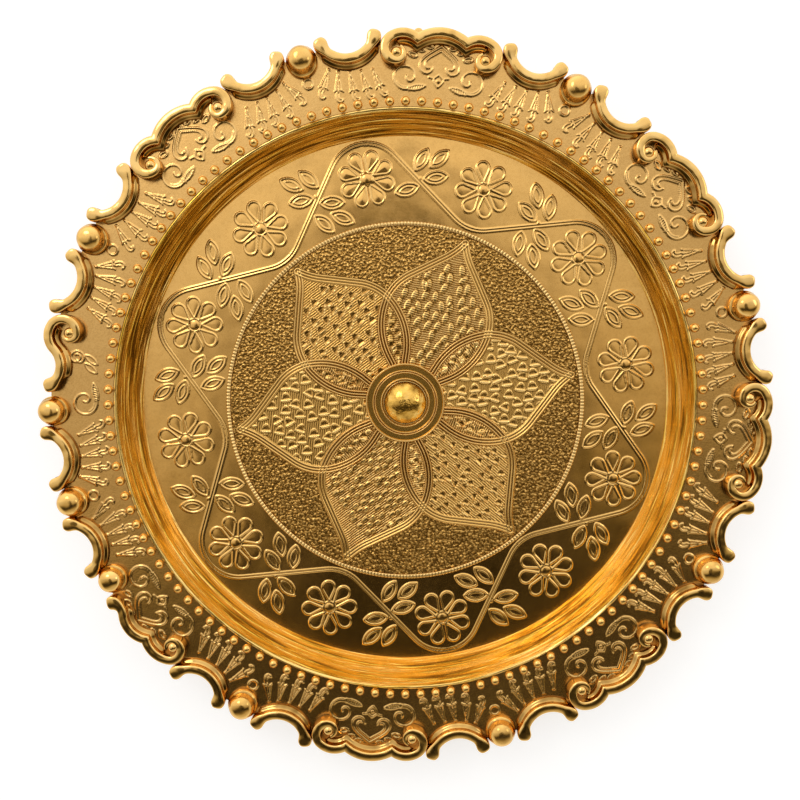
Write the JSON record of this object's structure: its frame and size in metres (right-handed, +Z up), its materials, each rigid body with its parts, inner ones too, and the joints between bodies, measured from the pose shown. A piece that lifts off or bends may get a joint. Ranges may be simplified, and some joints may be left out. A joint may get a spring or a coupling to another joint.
{
  "type": "thali plate",
  "caption": "Round brass thali plate with a deep polished well, an embossed floor, a chased star medallion and a scalloped rim of cast scrolls, crests and balls.",
  "frame": {"origin": "middle of the flat underside, under the centre boss", "axes": "+Z up, out of the well; +Y towards the crest with the small lug; the plate is shown from above with +X to the right"},
  "size_m": [0.3044, 0.305, 0.0271],
  "materials": {
    "pan_brass": "polished, spun",
    "floor_brass": "satin",
    "chased_brass": "hammered and chased, satin",
    "milled_brass": "satin",
    "border_brass": "satin",
    "casting_brass": "semi-polished",
    "ball_brass": "polished",
    "polished_brass": "polished"
  },
  "bodies": {
    "root": {"base_pan": "pan_brass", "floor_plate": "floor_brass", "medallion_plate": "chased_brass", "milled_ring": "milled_brass", "centre_collar": "casting_brass", "centre_boss": "polished_brass", "border_plate": "border_brass", "rim_beads": "polished_brass", "c_scroll_01": "casting_brass", "c_scroll_02": "casting_brass", "c_scroll_03": "casting_brass", "c_scroll_04": "casting_brass", "c_scroll_05": "casting_brass", "c_scroll_06": "casting_brass", "c_scroll_07": "casting_brass", "c_scroll_08": "casting_brass", "c_scroll_09": "casting_brass", "c_scroll_10": "casting_brass", "c_scroll_11": "casting_brass", "c_scroll_12": "casting_brass", "c_scroll_13": "casting_brass", "c_scroll_14": "casting_brass", "c_scroll_15": "casting_brass", "c_scroll_16": "casting_brass", "crest_01": "casting_brass", "crest_02": "casting_brass", "crest_03": "casting_brass", "crest_04": "casting_brass", "crest_05": "casting_brass", "crest_06": "casting_brass", "crest_07": "casting_brass", "crest_08": "casting_brass", "rim_ball_01": "ball_brass", "rim_ball_02": "ball_brass", "rim_ball_03": "ball_brass", "rim_ball_04": "ball_brass", "rim_ball_05": "ball_brass", "rim_ball_06": "ball_brass", "rim_ball_07": "ball_brass", "rim_ball_08": "ball_brass", "rim_ball_09": "ball_brass", "rim_ball_10": "ball_brass", "rim_lug": "casting_brass"}
  },
  "joints": []
}
